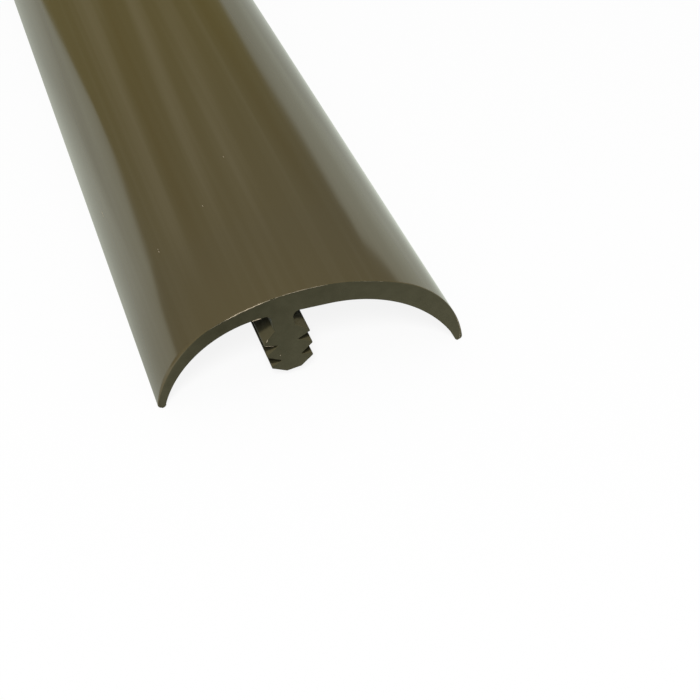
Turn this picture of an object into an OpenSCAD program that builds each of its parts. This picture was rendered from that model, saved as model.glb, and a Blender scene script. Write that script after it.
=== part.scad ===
// Barbed edge strip for the edge of a door: an extruded crescent cap with a barbed stem under it.
// The strip runs along Y, rests on its two lips at z = 0, and its crown points up.
// The stem stands square to the crown, set off towards -X, and is pressed into a kerf in the door.
// Depths on the stem are counted from the underside of the cap, along the leaning stem.

/* [Strip] */
// Cut length of the strip
strip_length = 200; // [60:1:2440]

/* [Cap] */
// Width over the two lips
cap_width = 38; // [32:0.5:60]
// Height from the lip tips to the top of the crown
cap_height = 13; // [12:0.25:16]
// Radius of the outer flanks, which run up into the flatter crown
flank_radius = 13; // [9:0.25:14]
// Lean of the flanks from upright, where they spring from the lips
flank_lean = 8.5; // [4:0.5:14]
// Wall at the middle of the crown
crown_wall = 2.9; // [2:0.1:4]
// Radius of the rounded lip tips
lip_radius = 0.5; // [0.3:0.05:0.8]

/* [Hollow] */
// Width of the flat under the crown, between the two inner flanks
hollow_flat = 7; // [5:0.5:10]
// Shift of that flat from the middle of the cap, to the side that the stem is on
hollow_shift = 1.6; // [0:0.1:3]

/* [Stem] */
// Distance from the middle of the cap to the root of the stem
stem_offset = 3.8; // [0:0.1:5]
// Thickness of the stem between its barbs
stem_width = 2.5; // [2:0.1:3.4]
// Fillet where the stem meets the cap
root_fillet = 0.8; // [0.3:0.05:1.2]
// Width of the flat at the nose of the stem
nose_flat = 1.8; // [0.8:0.1:2.4]
// Length of the nose below the lowest barb tips
nose_length = 1.1; // [0.4:0.05:1.8]

/* [Barbs] */
// Width over the upper and the middle pair of barbs
barb_span = 5.6; // [4:0.1:7]
// Width over the lowest pair, which leads the stem into the kerf
nose_span = 5.1; // [4:0.1:6]
// Depth of the root of the first barb
first_barb = 2.25; // [1.5:0.05:3.2]
// Distance from the root of one barb to the root of the next
barb_pitch = 2.35; // [2:0.05:2.6]
// How far the tip of the first barb lies below its root
barb_sweep = 1.4; // [1.2:0.05:1.7]
// How much less each barb below it is swept
sweep_step = 0.5; // [0:0.05:0.6]
// Height of the blunt face at a barb tip
tip_land = 0.25; // [0.1:0.05:0.4]
// Height of the stem left bare at the bottom of a notch
notch_land = 0.15; // [0.1:0.05:0.4]

/* [Hidden] */
$fn = 96;

// Colour of the moulding compound
olive_brown = [0.35, 0.31, 0.21];

// Rows of barbs, counted from the cap down
UPPER = 0;
MIDDLE = 1;
LOWER = 2;

// Sides of the strip
LEFT = -1;
RIGHT = 1;

// How far tangent curves of an outline run into each other, so that they join without slivers
overlap = 0.001;

// Lips: the flanks spring from both sides of the rounded tips at one height
lip_x = cap_width / 2 - lip_radius;
spring_z = lip_radius * (1 + sin(flank_lean));
lip_inside = lip_x - lip_radius * cos(flank_lean) + overlap;

// Outer arch: two flank arcs that run tangent from the lip tips into one crown arc
flank_reach = flank_radius - lip_radius + overlap;
flank_x = lip_x - flank_reach * cos(flank_lean);
flank_z = lip_radius - flank_reach * sin(flank_lean);
arch_rise = cap_height - flank_z;
crown_reach = flank_radius - overlap;
crown_radius = (flank_x ^ 2 + arch_rise ^ 2 - crown_reach ^ 2) / (2 * (arch_rise - crown_reach));
crown_centre = cap_height - crown_radius;

// Hollow: a flat under the crown, and two inner flanks that run tangent from it down to the lips
hollow_top = cap_height - crown_wall;
hollow_depth = hollow_top - spring_z;

// Stem: its centre line points at the centre of the crown arc
stem_lean = atan2(stem_offset, hollow_top - crown_centre);
stem_half = stem_width / 2;
fillet_offset = stem_half + root_fillet - overlap;
lowest_tip = barb_tip(LOWER) + tip_land;
stem_length = lowest_tip + nose_length;
nose_slope = 2 * nose_length / (nose_span - nose_flat);
nose_shoulder = lowest_tip + (nose_span - stem_width) / 2 * nose_slope;

// Height by which the blank of the stem stands into the cap before it is trimmed to the underside
trim_allowance = 1;

// Edge of the flat under the crown on one side, and radius of the inner flank that starts there
function hollow_x(side) = side * hollow_flat / 2 - hollow_shift;
function hollow_reach(side) = lip_inside - side * hollow_x(side);
function hollow_radius(side) = (hollow_reach(side) ^ 2 + hollow_depth ^ 2) / (2 * hollow_depth);

// Depth of the root of a barb, of its tip, and of the point where its underside meets the stem
function barb_root(row) = first_barb + row * barb_pitch;
function barb_tip(row) = barb_root(row) + barb_sweep - row * sweep_step;
function barb_heel(row) = row == LOWER ? nose_shoulder : barb_root(row + 1) - notch_land;

// Distance from the stem's centre line to the tip of a barb
function barb_half(row) = (row == LOWER ? nose_span : barb_span) / 2;

// Place of the stem's centre line at height z
function stem_x(z) = -(z - crown_centre) * tan(stem_lean);

// From the stem's centre line square out to the centre of the root fillet on one side
function fillet_reach(side) = side * fillet_offset * [cos(stem_lean), sin(stem_lean)];

// Centre of the root fillet on one side
function fillet_centre(side) =
    let (z = hollow_top - root_fillet)
    [stem_x(z) + side * fillet_offset / cos(stem_lean), z];

// A profile in X and Z, run out to the length of the strip
module run_out() {
    color(olive_brown)
        rotate([90, 0, 0])
            linear_extrude(height = strip_length, center = true)
                children();
}

// Lay a profile, drawn down from the origin, along the leaning stem
module on_stem() {
    translate([stem_x(hollow_top), hollow_top])
        rotate(stem_lean)
            children();
}

// Everything inside the crown arc and the two flank arcs, which take over where the fan of the crown ends
module arch_outline() {
    fan_height = 2 * crown_radius;
    fan_x = fan_height * flank_x / (flank_z - crown_centre);
    intersection() {
        translate([0, crown_centre])
            circle(crown_radius);
        union() {
            translate([0, crown_centre])
                polygon([[0, 0], [fan_x, fan_height], [-fan_x, fan_height]]);
            for (side = [LEFT, RIGHT])
                translate([side * flank_x, flank_z])
                    circle(flank_radius);
        }
    }
}

// The space under the cap, which takes the edge of the door
module hollow_outline() {
    for (side = [LEFT, RIGHT])
        translate([hollow_x(side), hollow_top - hollow_radius(side)])
            circle(hollow_radius(side));
    translate([hollow_x(LEFT), 0])
        square([hollow_flat, hollow_top - overlap]);
}

// Everything over the hollow, above the line that the flanks spring from, and the rounded lip tips below it
module shell_outline() {
    difference() {
        translate([-cap_width, spring_z])
            square([2 * cap_width, cap_height]);
        hollow_outline();
    }
    for (side = [LEFT, RIGHT])
        translate([side * lip_x, lip_radius])
            circle(lip_radius);
}

// Root of the stem, flared into the cap by a fillet on each side
module root_outline() {
    above = hollow_top + trim_allowance;
    left = fillet_centre(LEFT);
    right = fillet_centre(RIGHT);
    difference() {
        polygon([
            [left.x, above],
            [right.x, above],
            right,
            right - fillet_reach(RIGHT),
            left - fillet_reach(LEFT),
            left
        ]);
        for (centre = [left, right])
            translate(centre)
                circle(root_fillet);
    }
}

// Core of the stem, from inside the cap down to its chamfered nose
module core_outline() {
    polygon([
        [-stem_half, trim_allowance],
        [stem_half, trim_allowance],
        [stem_half, -nose_shoulder],
        [nose_flat / 2, -stem_length],
        [-nose_flat / 2, -stem_length],
        [-stem_half, -nose_shoulder]
    ]);
}

// One barb on the right of the stem, which the left side mirrors
module barb_outline(row) {
    polygon([
        [stem_half, -barb_root(row)],
        [barb_half(row), -barb_tip(row)],
        [barb_half(row), -(barb_tip(row) + tip_land)],
        [stem_half, -barb_heel(row)]
    ]);
}

module cap() {
    run_out()
        intersection() {
            arch_outline();
            shell_outline();
        }
}

module stem() {
    run_out()
        intersection() {
            union() {
                on_stem()
                    core_outline();
                root_outline();
            }
            hollow_outline();
        }
}

module barb(side, row) {
    run_out()
        on_stem()
            mirror([side == LEFT ? 1 : 0, 0])
                barb_outline(row);
}

cap();
stem();
barb(LEFT, UPPER);  // left_upper_barb
barb(LEFT, MIDDLE);  // left_middle_barb
barb(LEFT, LOWER);  // left_lower_barb
barb(RIGHT, UPPER);  // right_upper_barb
barb(RIGHT, MIDDLE);  // right_middle_barb
barb(RIGHT, LOWER);  // right_lower_barb
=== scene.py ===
"""Looks of a barbed door edge strip: a glossy olive-brown extrusion, seen from its sawn end."""

import math
import random

import bmesh
import bpy
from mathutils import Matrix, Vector


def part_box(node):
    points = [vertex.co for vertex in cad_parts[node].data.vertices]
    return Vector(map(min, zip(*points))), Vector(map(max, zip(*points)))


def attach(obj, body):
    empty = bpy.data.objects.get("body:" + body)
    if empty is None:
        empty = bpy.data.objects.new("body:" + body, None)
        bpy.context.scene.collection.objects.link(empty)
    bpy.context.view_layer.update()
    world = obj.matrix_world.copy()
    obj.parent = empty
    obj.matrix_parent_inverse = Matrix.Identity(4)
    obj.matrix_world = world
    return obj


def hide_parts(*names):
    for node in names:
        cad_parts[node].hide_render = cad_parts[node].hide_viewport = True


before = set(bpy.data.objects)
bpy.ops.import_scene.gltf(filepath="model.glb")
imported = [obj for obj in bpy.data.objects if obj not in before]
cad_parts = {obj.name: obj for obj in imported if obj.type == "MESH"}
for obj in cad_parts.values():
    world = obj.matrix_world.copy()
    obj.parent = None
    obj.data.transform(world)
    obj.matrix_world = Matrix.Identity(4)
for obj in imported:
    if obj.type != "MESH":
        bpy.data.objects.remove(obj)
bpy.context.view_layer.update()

# Sizes are in millimetres, and meshes are made in metres
MM = 0.001

# Sides of the strip and rows of barbs
LEFT = -1
RIGHT = 1
SIDE_NAMES = {LEFT: "left", RIGHT: "right"}
UPPER, MIDDLE, LOWER = range(3)
ROW_NAMES = {UPPER: "upper", MIDDLE: "middle", LOWER: "lower"}

# Material slots of a run-out piece: its first edge, its second edge and its sawn ends
FIRST_SLOT, SECOND_SLOT, SAWN_SLOT = range(3)

# Overall size, from the frame
cap_low, cap_high = (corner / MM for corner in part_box("cap"))
CAP_HALF = cap_high.x
CAP_HEIGHT = cap_high.z
HOLLOW_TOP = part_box("stem")[1].z / MM

# The sawn faces lie a little inside the frame's ends, which leaves room for their burrs
SAW_ALLOWANCE = 0.12
NEAR_END = cap_low.y + SAW_ALLOWANCE
FAR_END = cap_high.y - SAW_ALLOWANCE

# Section of the cap
FLANK_RADIUS = 13
FLANK_LEAN = math.radians(8.5)
LIP_RADIUS = 0.5
HOLLOW_FLAT = 7
HOLLOW_SHIFT = 1.6

# Section of the stem, with depths counted from the underside of the cap
STEM_OFFSET = 3.8
STEM_HALF = 1.25
ROOT_FILLET = 0.8
NOSE_FLAT = 1.8
NOSE_LENGTH = 1.1
BARB_SPAN = 5.6
NOSE_SPAN = 5.1
FIRST_BARB = 2.25
BARB_PITCH = 2.35
BARB_SWEEP = 1.4
SWEEP_STEP = 0.5
TIP_LAND = 0.25
NOTCH_LAND = 0.15
TIP_ROUND = 0.09
NOSE_ROUND = 0.15

# Edge that the saw has rolled over on the outside of the cap: radii, and where in x and z they change
CROWN_ROLL = 0.1
FLANK_ROLLS = {LEFT: 0.5, RIGHT: 0.12}
LIP_ROLL = 0.12
ROLL_GROWS = (12, 17)
LIP_ROLL_HEIGHT = 5

# Threads of burr along the sawn edges: start and end in x, and radius
EDGE_BURRS = (
    (-12.4, -10.4, 0.01), (-10.5, -5, 0.055), (-5, 2, 0.02), (-4.7, -4.1, 0.04), (-3.8, -3.2, 0.035),
    (4.2, 8.6, 0.005), (17.6, 18.7, 0.02),
)
INNER_BURRS = ((-7.3, -6.1, 0.045),)

# Specks on the skin: x, distance from the near end, length and radius
SKIN_SPECKS = (
    (-13.9, 17.9, 0.15, 0.05), (-14.05, 17.4, 0.15, 0.06), (-7.3, 20.8, 0.3, 0.03), (-2.5, 29.3, 0.2, 0.04),
    (-18, 34.2, 1.2, 0.02),
)

# Flakes on the sawn face of the stem: x, z, run, rise and radius
STEM_FLAKES = (
    (-5.7, 6.35, 0.15, 0.35, 0.04), (-4.14, 3.9, 0.05, 0.1, 0.05), (-5.95, 5.85, 1.1, -0.35, 0.02),
)

# How these slivers thin out towards their ends, and the range of their uneven thickness
SLIVER_TAPER = 0.4
SLIVER_THICKNESS = (0.65, 1.2)

# A direction that no sliver runs in, from which the sides of its tube are set up
SLIVER_HINT = Vector((0, 1, 1))

# Painted reflection in the skin's colour, as lengthwise streaks: x and tone, about the middle tone
MID_TONE = 0.5
PAINTED_REFLECTION_STREAKS = (
    (-19, 0.5), (-13.5, 0.5), (-11, 0.95), (-9.2, 0.15), (-7.4, 0.4), (-5.6, 1), (-3.5, 0.4), (-0.9, 0.85),
    (1.7, 0.4), (4, 0.6), (5.8, 0), (8.5, 0.45), (19, 0.5),
)

# Lean of the streaks: a range of y with the shifts at its ends, and the share of the shift that each x takes
STREAK_LEAN = ((-85, -20), (-1.1, 1.8))
LEAN_SHARES = ((-19, 0), (-12, 0.25), (-7, 1), (0, 1), (3.5, 0), (19, 0))

# How far the streaks wander sideways, and how strong the fine ones among them are
STREAK_WANDER = 0.2
FINE_STREAKS = 0.12

# Length over which the streaks fade at the sawn ends: x and length
STREAK_FADES = ((-19, 26), (-9.5, 26), (-7, 48), (-3.5, 48), (-1, 32), (19, 32))

# Painted light on the sawn ends, lighter towards the lips and the nose, for light from the floor: x and
# level, a range of heights with the levels added at its ends, which makes the ends lighter towards the
# bottom, and the strength of the mottling
SAWN_PAINTED_LIGHT = (
    (-19, 0.57), (-16, 0.41), (-12, 0.175), (-8.7, 0.19), (-7, 0.32), (-4, 0.45), (-2, 0.52), (0, 0.49),
    (6, 0.56), (12, 0.66), (19, 0.66),
)
LOW_PAINTED_LIGHT = ((3, 13), (0.17, -0.12))
SAWN_MOTTLE = 0.12

# Colours from dark to light, each at its tone
SKIN_COLOURS = ((0, (0.0775, 0.0585, 0.0235)), (0.5, (0.086, 0.068, 0.031)), (1, (0.11, 0.0905, 0.0495)))
MATT_COLOURS = ((0, (0.012, 0.011, 0.005)), (0.3, (0.091, 0.08, 0.042)), (0.7, (0.111, 0.098, 0.053)))
SAWN_COLOURS = ((0, (0.03, 0.0277, 0.0128)), (1, (0.074, 0.069, 0.0395)))
BURR_COLOURS = ((0.35, (0.3, 0.25, 0.17)), (0.6, (0.5, 0.42, 0.3)))

# Painted shade beside the stem, for the shade under the cap: the share of tone that it leaves, and where
# it thins out, counted from the stem's centre line and from the sawn ends
PAINTED_SHADE_LEVEL = 0.15
PAINTED_SHADE_THINS = (3, 5)
PAINTED_SHADE_ENDS = (10, 35)

# Where the painted shade gives way near the sawn ends, as light reaches in under the cap: depth and how far
# in from the sawn ends that light reaches, and the shares of that reach between which the shade fades in
LIT_REACH = ((0.5, 0.05), (3.65, 2), (4.7, 0.05), (5.5, 0.8), (7, 0.05), (7.35, 0.55), (9, 0.55))
LIT_FADE = (0.75, 1.3)

# Grain of the noises, in waves per millimetre along each axis, and the span that most of a noise lies in
WANDER_GRAIN = (0.15, 0.02, 0.15)
STREAK_GRAIN = (1.1, 0.006, 1.1)
GLOSS_GRAIN = (0.4, 0.05, 0.4)
SKIN_LINES = (4, 0.01, 4)
MATT_GRAIN = (0.8, 0.03, 0.8)
MATT_LINES = (3, 0.02, 3)
MOTTLE_GRAIN = (0.7, 0.7, 0.7)
SAW_MARKS = (2.5, 1, 5)
BURR_GRAIN = (2, 2, 2)
NOISE_SPAN = (0.3, 0.7)

# Depth of the die lines and the saw marks
SKIN_LINE_DEPTH = 0.0015
MATT_LINE_DEPTH = 0.01
SAW_MARK_DEPTH = 0.03

# Gloss of the compound and of its finishes
REFRACTION = 1.45
SKIN_ROUGHNESS = (0.09, 0.13)
MATT_ROUGHNESS = 0.5
MATT_SPECULAR = 0.3
SAWN_ROUGHNESS = 0.6
SAWN_SPECULAR = 0.2
BURR_ROUGHNESS = 0.6

# Divisions of the meshes, and how many steps of the rolled edge are torn like the cut
LIP_STEPS = 8
FLANK_STEPS = 60
CROWN_STEPS = 80
HOLLOW_STEPS = 80
FILLET_STEPS = 12
CORNER_STEPS = 4
ROLL_STEPS = 6
TORN_STEPS = 2
LENGTH_STEPS = 12
SPLINTER_STEPS = 2
SLIVER_SIDES = 6

# Welding and shading: merge distance in metres, sharpest smooth edge, and how square to the length an end is
WELD = 1e-8
SHARP_ANGLE = math.radians(25)
SQUARE_TO_LENGTH = 0.9999

# Camera, at the photograph's viewing angle, with its near clip in metres
CAMERA_AZIMUTH = math.radians(-19.27)
CAMERA_ELEVATION = math.radians(40.79)
CAMERA_DISTANCE = 145.03
CAMERA_AIM = Vector((0.377, cap_low.y - 11.556, CAP_HEIGHT))
CAMERA_LENS = 69.94
CAMERA_CLIP = 0.001

# White of the studio
WHITE = (1, 1, 1, 1)

# Floor, in metres: its colours as seen and as it lights the part, and the shade on it, with where that fades
FLOOR_SIZE = 4
FLOOR_COLOUR = (0.9, 0.9, 0.9, 1)
FLOOR_BOUNCE = (0.4, 0.4, 0.4, 1)
FLOOR_SHADE = 0.12
FLOOR_FADES = (0.2, 0.6)

# The floor in the part's gloss: y and level on its two sides, the range of x from one side to the other, the
# distance over which these levels go over into the backdrop's, and the point that those are laid out around
FLOOR_LEFT = ((-0.085, 1), (-0.045, 1.2), (-0.012, 0.88))
FLOOR_RIGHT = ((-0.085, 1.04), (-0.05, 0.86), (-0.015, 0.74))
FLOOR_SIDES = (-0.03, 0.03)
FLOOR_REACH = (0.035, 0.07)
FLOOR_HUB = (0, -0.1, 0)

# Surround: its even light on the part, and a bright backdrop low in the part's gloss, whose level and height
# follow x of the direction
SURROUND_LIGHT = 0.4
BACKDROP_COLOUR = (0.92, 0.985, 0.86, 1)
BACKDROP_LEVELS = (
    (-1, 1.13), (-0.64, 1.16), (-0.53, 1.11), (-0.47, 0.9), (-0.35, 0.77), (0.25, 0.7), (0.48, 0.74),
    (0.53, 0.9), (0.6, 1.01), (0.68, 1.17), (1, 1.17),
)
BACKDROP_HEIGHTS = (
    (-1, 0.05), (-0.67, 0.075), (-0.635, 0.11), (-0.6, 0.12), (-0.58, 0.145), (-0.505, 0.2), (-0.485, 0.19),
    (-0.444, 0.02), (0.42, 0.19), (0.475, 0.248), (0.525, 0.256), (0.575, 0.3), (0.59, 0.35), (0.65, 0.315),
    (1, 0.3),
)
BACKDROP_SOFTNESS = 0.03

# Above the backdrop: two colours, and the range of y of the direction in which one turns into the other
OVERHEAD_COLOURS = ((0, (0.2, 0.22, 0.2)), (1, (0.29, 0.25, 0.08)))
OVERHEAD_TURN = (0.77, 0.87)

# One broad lamp, in metres and watts
LAMP_PLACE = Vector((-0.27, -0.82, 0.92))
LAMP_SIZE = 0.36
LAMP_POWER = 12.6

# Values that follow from the sizes above
LIP_X = CAP_HALF - LIP_RADIUS
FLANK_REACH = FLANK_RADIUS - LIP_RADIUS
FLANK_X = LIP_X - FLANK_REACH * math.cos(FLANK_LEAN)
FLANK_Z = LIP_RADIUS - FLANK_REACH * math.sin(FLANK_LEAN)
ARCH_RISE = CAP_HEIGHT - FLANK_Z
CROWN_RADIUS = (FLANK_X**2 + ARCH_RISE**2 - FLANK_RADIUS**2) / (2 * (ARCH_RISE - FLANK_RADIUS))
CROWN_CENTRE = CAP_HEIGHT - CROWN_RADIUS
CROWN_EDGE = math.atan2(FLANK_X, FLANK_Z - CROWN_CENTRE)
SPRING_Z = LIP_RADIUS * (1 + math.sin(FLANK_LEAN))
LIP_INSIDE = LIP_X - LIP_RADIUS * math.cos(FLANK_LEAN)
STEM_LEAN = math.atan2(STEM_OFFSET, HOLLOW_TOP - CROWN_CENTRE)
LOWEST_TIP = FIRST_BARB + LOWER * (BARB_PITCH - SWEEP_STEP) + BARB_SWEEP + TIP_LAND
STEM_LENGTH = LOWEST_TIP + NOSE_LENGTH
NOSE_SHOULDER = LOWEST_TIP + (NOSE_SPAN / 2 - STEM_HALF) * NOSE_LENGTH / (NOSE_SPAN / 2 - NOSE_FLAT / 2)
FLAT_STEPS = 2 * FLANK_STEPS + CROWN_STEPS - 2 * HOLLOW_STEPS

# Draws for uneven burrs, the same on each run
BURR_SEED = 7
chance = random.Random(BURR_SEED)


# Runs of points

def arc(centre, radius, start, end, steps):
    """Points on an arc in X and Z, with angles counted from straight up towards +X."""
    points = []
    for step in range(steps + 1):
        angle = start + (end - start) * step / steps
        points.append(Vector((centre[0] + radius * math.sin(angle), centre[1] + radius * math.cos(angle))))
    return points


def line(start, end, steps):
    """Evenly spaced points on a straight line."""
    return [start.lerp(end, step / steps) for step in range(steps + 1)]


def chain(*runs):
    """Runs of points joined end to end, without the points that they share."""
    points = list(runs[0])
    for run in runs[1:]:
        points.extend(run[1:])
    return points


def mirrored(points):
    """The same run on the other side of the strip, walked the other way."""
    return [Vector((-point.x, point.y)) for point in reversed(points)]


def rounded(points, radius):
    """An open run of points whose inner corners are rounded by arcs."""
    result = [points[0]]
    for before, corner, after in zip(points, points[1:], points[2:]):
        back = (before - corner).normalized()
        ahead = (after - corner).normalized()
        half_angle = back.angle(ahead) / 2
        setback = radius / math.tan(half_angle)
        middle = corner + (back + ahead).normalized() * radius / math.sin(half_angle)
        first = corner + back * setback - middle
        last = corner + ahead * setback - middle
        for step in range(CORNER_STEPS + 1):
            result.append(middle + first.lerp(last, step / CORNER_STEPS).normalized() * radius)
    result.append(points[-1])
    return result


def inward_normals(loop):
    """Unit normals into a closed section, one for each of its points."""
    area = sum(a.x * b.y - b.x * a.y for a, b in zip(loop, loop[1:] + loop[:1]))
    turn = math.copysign(1, area)
    normals = []
    for before, after in zip(loop[-1:] + loop[:-1], loop[1:] + loop[:1]):
        along = after - before
        normals.append(Vector((-along.y, along.x)).normalized() * turn)
    return normals


# Section of the strip

def cap_outside():
    """Outer line of the section, from the bottom of the left lip over the crown to that of the right lip."""
    lip_start = math.pi / 2 - FLANK_LEAN
    flank = arc((FLANK_X, FLANK_Z), FLANK_RADIUS, CROWN_EDGE, lip_start, FLANK_STEPS)
    lip = arc((LIP_X, LIP_RADIUS), LIP_RADIUS, lip_start, math.pi, LIP_STEPS)
    crown = arc((0, CROWN_CENTRE), CROWN_RADIUS, -CROWN_EDGE, CROWN_EDGE, CROWN_STEPS)
    right = chain(flank, lip)
    return chain(mirrored(right), crown, right)


def hollow_flank(side):
    """Inner line on one side, from the flat under the crown down to the bottom of the lip."""
    start_x = HOLLOW_FLAT / 2 - side * HOLLOW_SHIFT
    reach = LIP_INSIDE - start_x
    depth = HOLLOW_TOP - SPRING_Z
    radius = (reach**2 + depth**2) / (2 * depth)
    end = math.atan2(reach, radius - depth)
    lip_end = 3 * math.pi / 2 + FLANK_LEAN
    flank = arc((start_x, HOLLOW_TOP - radius), radius, 0, end, HOLLOW_STEPS)
    lip = arc((LIP_X, LIP_RADIUS), LIP_RADIUS, lip_end, math.pi, LIP_STEPS)
    run = chain(flank, lip)
    return run if side == RIGHT else mirrored(run)


def cap_inside():
    """Inner line of the section, with as many points as the outer one."""
    left = hollow_flank(LEFT)
    right = hollow_flank(RIGHT)
    return chain(left, line(left[-1], right[0], FLAT_STEPS), right)


def on_stem(across, depth):
    """A point beside the stem's centre line, at a depth below the underside of the cap."""
    x = -STEM_OFFSET + across * math.cos(STEM_LEAN) + depth * math.sin(STEM_LEAN)
    z = HOLLOW_TOP + across * math.sin(STEM_LEAN) - depth * math.cos(STEM_LEAN)
    return Vector((x, z))


def stem_side(side):
    """One side of the stem's core, from the fillet at its root down to its nose."""
    centre_z = HOLLOW_TOP - ROOT_FILLET
    axis_x = -(centre_z - CROWN_CENTRE) * math.tan(STEM_LEAN)
    centre = (axis_x + side * (STEM_HALF + ROOT_FILLET) / math.cos(STEM_LEAN), centre_z)
    fillet = arc(centre, ROOT_FILLET, 0, -side * (math.pi / 2 + side * STEM_LEAN), FILLET_STEPS)
    shoulder = on_stem(side * STEM_HALF, NOSE_SHOULDER)
    nose = on_stem(side * NOSE_FLAT / 2, STEM_LENGTH)
    middle = on_stem(0, STEM_LENGTH)
    return fillet + rounded([shoulder, nose, middle], NOSE_ROUND)


def barb_edges(side, row):
    """Upper and lower edge of a barb, each from the stem out to the middle of its blunt tip."""
    root = FIRST_BARB + row * BARB_PITCH
    tip = root + BARB_SWEEP - row * SWEEP_STEP
    heel = NOSE_SHOULDER if row == LOWER else root + BARB_PITCH - NOTCH_LAND
    half = (NOSE_SPAN if row == LOWER else BARB_SPAN) / 2
    tip_middle = on_stem(side * half, tip + TIP_LAND / 2)
    upper = [on_stem(side * STEM_HALF, root), on_stem(side * half, tip), tip_middle]
    lower = [on_stem(side * STEM_HALF, heel), on_stem(side * half, tip + TIP_LAND), tip_middle]
    return rounded(upper, TIP_ROUND), rounded(lower, TIP_ROUND)


# Pieces run out along the strip

def smooth_rise(value, low, high):
    """Smooth rise from 0 to 1 as a value goes from low to high."""
    share = min(1, max(0, (value - low) / (high - low)))
    return share * share * (3 - 2 * share)


def roll_radius(point):
    """Radius of the rolled edge at a point on the outside of the cap."""
    flank_roll = FLANK_ROLLS[RIGHT if point.x > 0 else LEFT]
    flank = smooth_rise(abs(point.x), *ROLL_GROWS)
    lip = smooth_rise(point.y, 0, LIP_ROLL_HEIGHT)
    return LIP_ROLL + (CROWN_ROLL + (flank_roll - CROWN_ROLL) * flank - LIP_ROLL) * lip


def stations(point, normal, roll):
    """One point of the section at each place along the strip, with its edge rolled at the two ends."""
    ends = []
    for step in range(ROLL_STEPS + 1):
        angle = math.pi / 2 * (1 - step / ROLL_STEPS)
        ends.append((roll * (1 - math.sin(angle)), roll * (1 - math.cos(angle))))
    start = NEAR_END + roll
    end = FAR_END - roll
    places = [(NEAR_END + back, inset) for back, inset in ends]
    places += [(start + (end - start) * step / LENGTH_STEPS, 0) for step in range(1, LENGTH_STEPS)]
    places += [(FAR_END - back, inset) for back, inset in reversed(ends)]
    made = []
    for y, inset in places:
        inner = point + normal * inset
        made.append(Vector((inner.x, y, inner.y)) * MM)
    return made


def ring_faces(rings, count):
    """Faces between closed rings, each with the same count of points."""
    faces = []
    for ring in range(rings - 1):
        for corner in range(count):
            beside = (corner + 1) % count
            corners = [(ring, corner), (ring, beside), (ring + 1, beside), (ring + 1, corner)]
            faces.append([row * count + index for row, index in corners])
    return faces


def run_out(name, first, second, materials, rolls=None):
    """A piece between two edges of a section, run along the strip.

    The materials are for the first edge, the second edge and the sawn ends. The rolls are the radii of the
    rolled edge at the points of the first edge.
    """
    loop = first + second[::-1]
    count = len(loop)
    width = len(first)
    rolls = (rolls or [0] * width) + [0] * width
    columns = [stations(*column) for column in zip(loop, inward_normals(loop), rolls)]
    places = len(columns[0])
    vertices = [column[place] for place in range(places) for column in columns]
    faces = ring_faces(places, count)
    edges = [FIRST_SLOT] * width + [SECOND_SLOT] * width
    slots = []
    for place in range(places - 1):
        torn = min(place, places - 2 - place) < TORN_STEPS
        slots += [SAWN_SLOT] * count if torn else edges
    for place in (0, places - 1):
        for column in range(width - 1):
            opposite = count - 1 - column
            faces.append([place * count + index for index in (column, column + 1, opposite - 1, opposite)])
            slots.append(SAWN_SLOT)
    return add_piece(name, vertices, faces, materials, slots)


def add_to_scene(name, data):
    """A new object in the scene, from its mesh, camera or lamp data."""
    made = bpy.data.objects.new(name, data)
    bpy.context.scene.collection.objects.link(made)
    return made


def add_piece(name, vertices, faces, materials, slots):
    """A mesh with its materials, welded, shaded and carried on the strip's one body."""
    mesh = bpy.data.meshes.new(name)
    mesh.from_pydata(vertices, [], faces)
    mesh.polygons.foreach_set("material_index", slots)
    for material in materials:
        mesh.materials.append(material)
    work = bmesh.new()
    work.from_mesh(mesh)
    bmesh.ops.remove_doubles(work, verts=work.verts, dist=WELD)
    bmesh.ops.recalc_face_normals(work, faces=work.faces)
    for face in work.faces:
        face.smooth = True
    for edge in work.edges:
        flat_ends = {abs(face.normal.y) > SQUARE_TO_LENGTH for face in edge.link_faces}
        edge.smooth = len(flat_ends) == 1 and edge.calc_face_angle(0) < SHARP_ANGLE
    work.to_mesh(mesh)
    work.free()
    piece = add_to_scene(name, mesh)
    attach(piece, "root")
    return piece


# Slivers that the saw has left

def ragged(radius, count):
    """Radii of a sliver that starts and ends thin and is uneven between."""
    radii = []
    for index in range(count):
        taper = math.sin(math.pi * (index + 0.5) / count) ** SLIVER_TAPER
        radii.append(radius * taper * chance.uniform(*SLIVER_THICKNESS))
    return radii


def sliver(points, radius):
    """Vertices and faces of a thin uneven tube along some points, given in millimetres."""
    vertices = []
    for index, (point, thickness) in enumerate(zip(points, ragged(radius, len(points)))):
        ahead = points[min(index + 1, len(points) - 1)] - points[max(index - 1, 0)]
        across = ahead.cross(SLIVER_HINT).normalized()
        over = ahead.cross(across).normalized()
        for corner in range(SLIVER_SIDES):
            angle = 2 * math.pi * corner / SLIVER_SIDES
            outward = across * math.cos(angle) + over * math.sin(angle)
            vertices.append((point + outward * thickness) * MM)
    last = (len(points) - 1) * SLIVER_SIDES
    faces = ring_faces(len(points), SLIVER_SIDES)
    faces.append(list(range(SLIVER_SIDES)))
    faces.append([last + corner for corner in reversed(range(SLIVER_SIDES))])
    return vertices, faces


def edge_thread(edge, start, end, radius):
    """A thread of burr along part of a sawn edge, between two values of x."""
    run = [point for point in edge if start <= point.x <= end]
    points = [Vector((point.x, NEAR_END - chance.uniform(0, radius), point.y)) for point in run]
    return sliver(points, radius)


def skin_speck(outline, x, back, length, radius):
    """A speck that lies along the strip on the outside of the cap, some way back from the near end."""
    nearest = min(outline[LIP_STEPS:-LIP_STEPS], key=lambda point: abs(point.x - x))
    start = Vector((nearest.x, NEAR_END + back, nearest.y + radius / 2))
    return sliver(line(start, start + Vector((0, length, 0)), SPLINTER_STEPS), radius)


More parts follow.
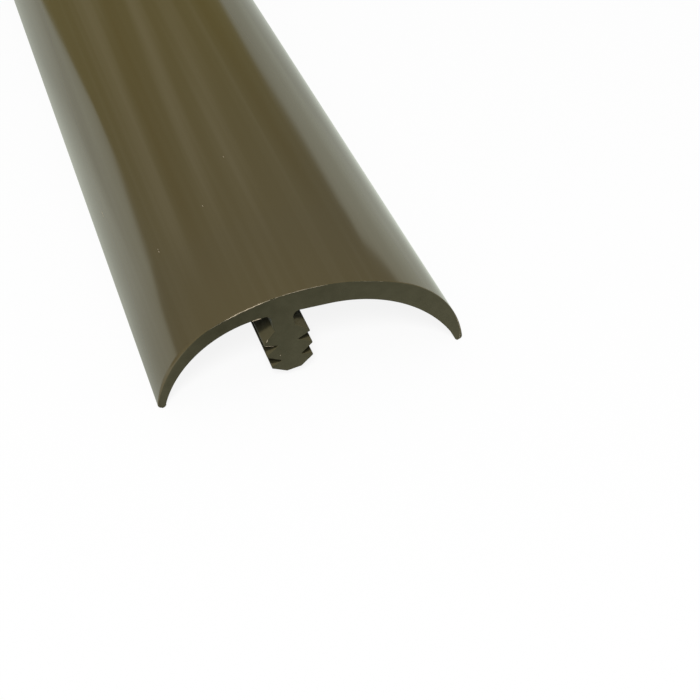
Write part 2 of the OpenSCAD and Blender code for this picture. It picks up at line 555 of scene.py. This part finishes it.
def stem_flake(x, z, run, rise, radius):
    """A flake on the sawn face of the stem."""
    start = Vector((x, NEAR_END, z))
    return sliver(line(start, start + Vector((run, 0, rise)), SPLINTER_STEPS), radius)


def add_slivers(name, slivers, material):
    """One piece made of several slivers."""
    vertices = []
    faces = []
    for sliver_vertices, sliver_faces in slivers:
        start = len(vertices)
        vertices += sliver_vertices
        faces += [[start + index for index in face] for face in sliver_faces]
    add_piece(name, vertices, faces, [material], [0] * len(faces))


# Materials

class Shader:
    """A node tree with short calls for adding nodes and links."""

    def __init__(self, owner):
        owner.use_nodes = True
        self.tree = owner.node_tree
        self.tree.nodes.clear()

    def add(self, kind, inputs=None, **settings):
        """A node with its settings and its inputs, each of them a value or the socket that feeds it."""
        node = self.tree.nodes.new("ShaderNode" + kind)
        for name, value in settings.items():
            setattr(node, name, value)
        for name, value in (inputs or {}).items():
            if isinstance(value, bpy.types.NodeSocket):
                self.tree.links.new(value, node.inputs[name])
            else:
                node.inputs[name].default_value = value
        return node

    def math(self, operation, first, second=0):
        """Result of an operation on one or two numbers."""
        return self.add("Math", {0: first, 1: second}, operation=operation).outputs[0]

    def vector(self, operation, first, second=(0, 0, 0)):
        """Results of an operation on one or two vectors, under the names Vector and Value."""
        return self.add("VectorMath", {0: first, 1: second}, operation=operation).outputs

    def axes(self, vector):
        """The parts of a vector, under the names X, Y and Z."""
        return self.add("SeparateXYZ", {"Vector": vector}).outputs

    def fit(self, value, before, after, smooth=False):
        """A value carried from one range to another, and held at its ends."""
        inputs = {"Value": value}
        inputs["From Min"], inputs["From Max"] = before
        inputs["To Min"], inputs["To Max"] = after
        kind = "SMOOTHSTEP" if smooth else "LINEAR"
        return self.add("MapRange", inputs, interpolation_type=kind).outputs["Result"]

    def ramp(self, factor, stops, interpolation="LINEAR"):
        """A colour that follows some stops, given as pairs of factor and colour."""
        node = self.add("ValToRGB", {"Fac": factor})
        node.color_ramp.interpolation = interpolation
        elements = node.color_ramp.elements
        while len(elements) < len(stops):
            elements.new(1)
        for element, (place, colour) in zip(elements, stops):
            element.position = place
            element.color = (*colour, 1)
        return node.outputs["Color"]

    def curve(self, value, stops, interpolation="EASE"):
        """A level that follows some stops, given as pairs of value and level."""
        low = stops[0][0]
        high = stops[-1][0]
        factor = self.fit(value, (low, high), (0, 1))
        greys = [((place - low) / (high - low), (level,) * 3) for place, level in stops]
        return self.ramp(factor, greys, interpolation)

    def place(self, scale=(1, 1, 1)):
        """Object coordinates in millimetres, stretched by a scale along each axis."""
        source = self.add("TexCoord").outputs["Object"]
        scaled = tuple(axis / MM for axis in scale)
        return self.add("Mapping", {"Vector": source, "Scale": scaled}).outputs["Vector"]

    def distance(self, start, direction):
        """How far the place lies from a start, counted along a direction."""
        product = self.vector("DOT_PRODUCT", self.place(), direction)["Value"]
        return self.math("SUBTRACT", product, start.dot(direction))

    def from_end(self):
        """Distance from the nearer sawn end."""
        along = self.axes(self.place())["Y"]
        return self.math("SUBTRACT", FAR_END, self.math("ABSOLUTE", along))

    def noise(self, grain, detail=2):
        """Noise from 0 to 1, in waves per millimetre along each axis."""
        inputs = {"Vector": self.place(grain), "Scale": 1, "Detail": detail}
        return self.add("TexNoise", inputs).outputs["Fac"]

    def uneven(self, grain, span, detail=2):
        """The same noise, spread over a span of levels."""
        return self.fit(self.noise(grain, detail), NOISE_SPAN, span)

    def bump(self, height, depth):
        """Normals bent by a height, for marks of a depth in millimetres."""
        inputs = {"Height": height, "Strength": 1, "Distance": depth * MM}
        return self.add("Bump", inputs).outputs["Normal"]

    def rays(self):
        """Flags of the rays from the camera, and of those that gloss or glass sends on."""
        path = self.add("LightPath").outputs
        reflected = self.math("MAXIMUM", path["Is Glossy Ray"], path["Is Transmission Ray"])
        return path["Is Camera Ray"], reflected

    def mix(self, factor, first, second):
        """A blend of two surfaces, from the first at a factor of 0 to the second at 1."""
        return self.add("MixShader", {"Fac": factor, 1: first.outputs[0], 2: second.outputs[0]})

    def finish(self, surface, kind="OutputMaterial"):
        """The tree's output, fed by its surface."""
        self.add(kind, {"Surface": surface.outputs[0]})


def new_shader(name):
    """A material and the shader of its empty node tree."""
    material = bpy.data.materials.new(name)
    return material, Shader(material)


def painted_reflection_streaks(shader):
    """Painted reflection as lengthwise streaks, which fade towards the sawn ends, as a tone about the middle
    one.
    """
    position = shader.axes(shader.place())
    wander = shader.uneven(WANDER_GRAIN, (-STREAK_WANDER, STREAK_WANDER))
    lean = shader.fit(position["Y"], *STREAK_LEAN)
    shift = shader.math("MULTIPLY", lean, shader.curve(position["X"], LEAN_SHARES))
    across = shader.math("SUBTRACT", shader.math("ADD", position["X"], wander), shift)
    # The streaks are painted reflection, laid into the colour
    streaks = shader.math("SUBTRACT", shader.curve(across, PAINTED_REFLECTION_STREAKS), MID_TONE)
    fade = shader.curve(position["X"], STREAK_FADES)
    strength = shader.fit(shader.from_end(), (0, fade), (0, 1), smooth=True)
    fine = shader.uneven(STREAK_GRAIN, (-FINE_STREAKS, FINE_STREAKS), detail=3)
    offset = shader.math("ADD", shader.math("MULTIPLY", streaks, strength), fine)
    return shader.math("ADD", offset, MID_TONE)


def skin_material():
    """Glossy extruded skin: olive brown, with streaks of painted reflection and fine die lines along the
    strip.
    """
    material, shader = new_shader("glossy_skin")
    surface = shader.add("BsdfPrincipled", {
        "Base Color": shader.ramp(painted_reflection_streaks(shader), SKIN_COLOURS),
        "Roughness": shader.uneven(GLOSS_GRAIN, SKIN_ROUGHNESS, detail=4),
        "IOR": REFRACTION,
        "Normal": shader.bump(shader.noise(SKIN_LINES, detail=3), SKIN_LINE_DEPTH),
    })
    shader.finish(surface)
    return material


def unshaded_share(shader):
    """Tone left by painted shade beside the stem near the ends, except where light reaches in under the cap.
    """
    root = Vector((-STEM_OFFSET, 0, HOLLOW_TOP))
    square_to_stem = Vector((math.cos(STEM_LEAN), 0, math.sin(STEM_LEAN)))
    down_stem = Vector((math.sin(STEM_LEAN), 0, -math.cos(STEM_LEAN)))
    across = shader.math("ABSOLUTE", shader.distance(root, square_to_stem))
    beside = shader.fit(across, PAINTED_SHADE_THINS, (0, 1))
    beyond = shader.fit(shader.from_end(), PAINTED_SHADE_ENDS, (0, 1))
    away = shader.math("MAXIMUM", beside, beyond)
    # Near the sawn ends the painted shade gives way where light reaches in under the cap
    reach = shader.curve(shader.distance(root, down_stem), LIT_REACH, "LINEAR")
    lit_near_end = shader.fit(shader.math("DIVIDE", shader.from_end(), reach), LIT_FADE, (1, 0), smooth=True)
    return shader.fit(shader.math("MAXIMUM", away, lit_near_end), (0, 1), (PAINTED_SHADE_LEVEL, 1))


def matt_material():
    """Underside and stem: the same compound, matt from the die, with coarser lines and painted shade beside
    the stem.
    """
    material, shader = new_shader("matt_skin")
    # The tone is darkened by painted shade beside the stem
    tone = shader.math("MULTIPLY", shader.noise(MATT_GRAIN, detail=4), unshaded_share(shader))
    surface = shader.add("BsdfPrincipled", {
        "Base Color": shader.ramp(tone, MATT_COLOURS),
        "Roughness": MATT_ROUGHNESS,
        "IOR": REFRACTION,
        "Specular IOR Level": MATT_SPECULAR,
        "Normal": shader.bump(shader.noise(MATT_LINES, detail=4), MATT_LINE_DEPTH),
    })
    shader.finish(surface)
    return material


def sawn_material():
    """Sawn end: matt and greyer than the skin, mottled, with faint saw marks and painted light from the
    floor.
    """
    material, shader = new_shader("sawn_end")
    position = shader.axes(shader.place())
    # Painted light: lighter towards the lips, the nose and the bottom, for light from the floor
    across = shader.curve(position["X"], SAWN_PAINTED_LIGHT)
    painted_light = shader.math("ADD", across, shader.fit(position["Z"], *LOW_PAINTED_LIGHT))
    mottle = shader.uneven(MOTTLE_GRAIN, (-SAWN_MOTTLE, SAWN_MOTTLE), detail=6)
    surface = shader.add("BsdfPrincipled", {
        "Base Color": shader.ramp(shader.math("ADD", painted_light, mottle), SAWN_COLOURS),
        "Roughness": SAWN_ROUGHNESS,
        "IOR": REFRACTION,
        "Specular IOR Level": SAWN_SPECULAR,
        "Normal": shader.bump(shader.noise(SAW_MARKS, detail=5), SAW_MARK_DEPTH),
    })
    shader.finish(surface)
    return material


def burr_material():
    """Stress-whitened slivers that the saw has left, beige and uneven."""
    material, shader = new_shader("whitened_burr")
    surface = shader.add("BsdfPrincipled", {
        "Base Color": shader.ramp(shader.noise(BURR_GRAIN, detail=3), BURR_COLOURS),
        "Roughness": BURR_ROUGHNESS,
        "IOR": REFRACTION,
    })
    shader.finish(surface)
    return material


def floor_sheen(shader, place):
    """Level of the floor in the part's gloss: set beside the strip, and the backdrop's level far from it."""
    position = shader.axes(place)
    left = shader.curve(position["Y"], FLOOR_LEFT, "LINEAR")
    right = shader.curve(position["Y"], FLOOR_RIGHT, "LINEAR")
    beside = shader.fit(position["X"], FLOOR_SIDES, (left, right))
    outward = shader.vector("SUBTRACT", place, FLOOR_HUB)["Vector"]
    bearing = shader.axes(shader.vector("NORMALIZE", outward)["Vector"])
    away = shader.curve(bearing["X"], BACKDROP_LEVELS, "LINEAR")
    return shader.fit(shader.math("ABSOLUTE", position["X"]), FLOOR_REACH, (beside, away))


def floor_material():
    """Pale floor that shows white, with a light share of the shadow that falls on it near the part."""
    material, shader = new_shader("pale_floor")
    camera, reflected = shader.rays()
    place = shader.add("TexCoord").outputs["Object"]
    from_part = shader.vector("LENGTH", place)["Value"]
    faded = shader.fit(from_part, FLOOR_FADES, (FLOOR_SHADE, 0))
    shade = shader.math("MAXIMUM", faded, shader.math("MULTIPLY", reflected, FLOOR_SHADE))
    white = shader.add("Emission", {"Color": WHITE, "Strength": 1})
    sheen = shader.add("Emission", {"Color": BACKDROP_COLOUR, "Strength": floor_sheen(shader, place)})
    pale = shader.add("BsdfDiffuse", {"Color": FLOOR_COLOUR})
    bounce = shader.add("BsdfDiffuse", {"Color": FLOOR_BOUNCE})
    shown = shader.mix(shade, shader.mix(reflected, white, sheen), pale)
    shader.finish(shader.mix(shader.math("MAXIMUM", camera, reflected), bounce, shown))
    return material


# Studio

def aim(thing, place, target):
    """Put a camera or lamp at a place and turn it to its target."""
    thing.location = place
    thing.rotation_mode = "QUATERNION"
    thing.rotation_quaternion = (target - place).to_track_quat("-Z", "Y")


def add_camera():
    """The photograph's camera, which looks down on the near end."""
    data = bpy.data.cameras.new("camera")
    data.lens = CAMERA_LENS
    data.clip_start = CAMERA_CLIP
    camera = add_to_scene("camera", data)
    level = math.cos(CAMERA_ELEVATION)
    back = Vector((
        math.sin(CAMERA_AZIMUTH) * level,
        -math.cos(CAMERA_AZIMUTH) * level,
        math.sin(CAMERA_ELEVATION),
    ))
    aim(camera, (CAMERA_AIM + back * CAMERA_DISTANCE) * MM, CAMERA_AIM * MM)
    bpy.context.scene.camera = camera


def add_floor():
    """A square floor under the part."""
    mesh = bpy.data.meshes.new("floor")
    work = bmesh.new()
    bmesh.ops.create_grid(work, x_segments=1, y_segments=1, size=FLOOR_SIZE / 2)
    work.to_mesh(mesh)
    work.free()
    mesh.materials.append(floor_material())
    add_to_scene("floor", mesh)


def add_surround():
    """Even light for the part, a white background, and a bright backdrop low in the part's gloss."""
    world = bpy.data.worlds.new("surround")
    bpy.context.scene.world = world
    shader = Shader(world)
    camera, reflected = shader.rays()
    direction = shader.axes(shader.add("TexCoord").outputs["Generated"])
    level = shader.curve(direction["X"], BACKDROP_LEVELS, "LINEAR")
    height = shader.curve(direction["X"], BACKDROP_HEIGHTS, "LINEAR")
    above = shader.math("SUBTRACT", direction["Z"], height)
    cleared = shader.fit(above, (-BACKDROP_SOFTNESS, BACKDROP_SOFTNESS), (0, 1), smooth=True)
    overhead_colour = shader.ramp(shader.fit(direction["Y"], OVERHEAD_TURN, (0, 1)), OVERHEAD_COLOURS)
    white = shader.add("Background", {"Color": WHITE, "Strength": 1})
    soft = shader.add("Background", {"Color": WHITE, "Strength": SURROUND_LIGHT})
    backdrop = shader.add("Background", {"Color": BACKDROP_COLOUR, "Strength": level})
    overhead = shader.add("Background", {"Color": overhead_colour, "Strength": 1})
    light = shader.mix(reflected, soft, shader.mix(cleared, backdrop, overhead))
    shader.finish(shader.mix(camera, light, white), "OutputWorld")


def add_lamp():
    """A broad soft lamp that the part's gloss does not show."""
    data = bpy.data.lights.new("soft_lamp", "AREA")
    data.shape = "DISK"
    data.size = LAMP_SIZE
    data.energy = LAMP_POWER
    lamp = add_to_scene("soft_lamp", data)
    aim(lamp, LAMP_PLACE, CAMERA_AIM * MM)
    lamp.visible_glossy = False


# Pieces of the strip, one for each node
skin = skin_material()
matt = matt_material()
sawn = sawn_material()
burr = burr_material()

outside = cap_outside()
inside = cap_inside()
rolls = [roll_radius(point) for point in outside]
cap = run_out("moulded_cap", outside, inside, (skin, matt, sawn), rolls)
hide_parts("cap")

stem = run_out("moulded_stem", stem_side(LEFT), stem_side(RIGHT), (matt, matt, sawn))
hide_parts("stem")

for side, side_name in SIDE_NAMES.items():
    for row, row_name in ROW_NAMES.items():
        node = f"{side_name}_{row_name}_barb"
        barb = run_out(f"moulded_{node}", *barb_edges(side, row), (matt, matt, sawn))
        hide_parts(node)

# Burrs and flakes on the near end, and specks on the skin
normals = inward_normals(outside + inside[::-1])
sawn_edge = [point + normal * roll for point, normal, roll in zip(outside, normals, rolls)]
add_slivers("edge_burr", [edge_thread(sawn_edge, *thread) for thread in EDGE_BURRS], burr)
add_slivers("inner_burr", [edge_thread(inside, *thread) for thread in INNER_BURRS], burr)
add_slivers("skin_specks", [skin_speck(outside, *speck) for speck in SKIN_SPECKS], burr)
add_slivers("stem_flakes", [stem_flake(*flake) for flake in STEM_FLAKES], burr)

# Camera, floor and light
add_camera()
add_floor()
add_surround()
add_lamp()
bpy.context.scene.view_settings.view_transform = "Standard"
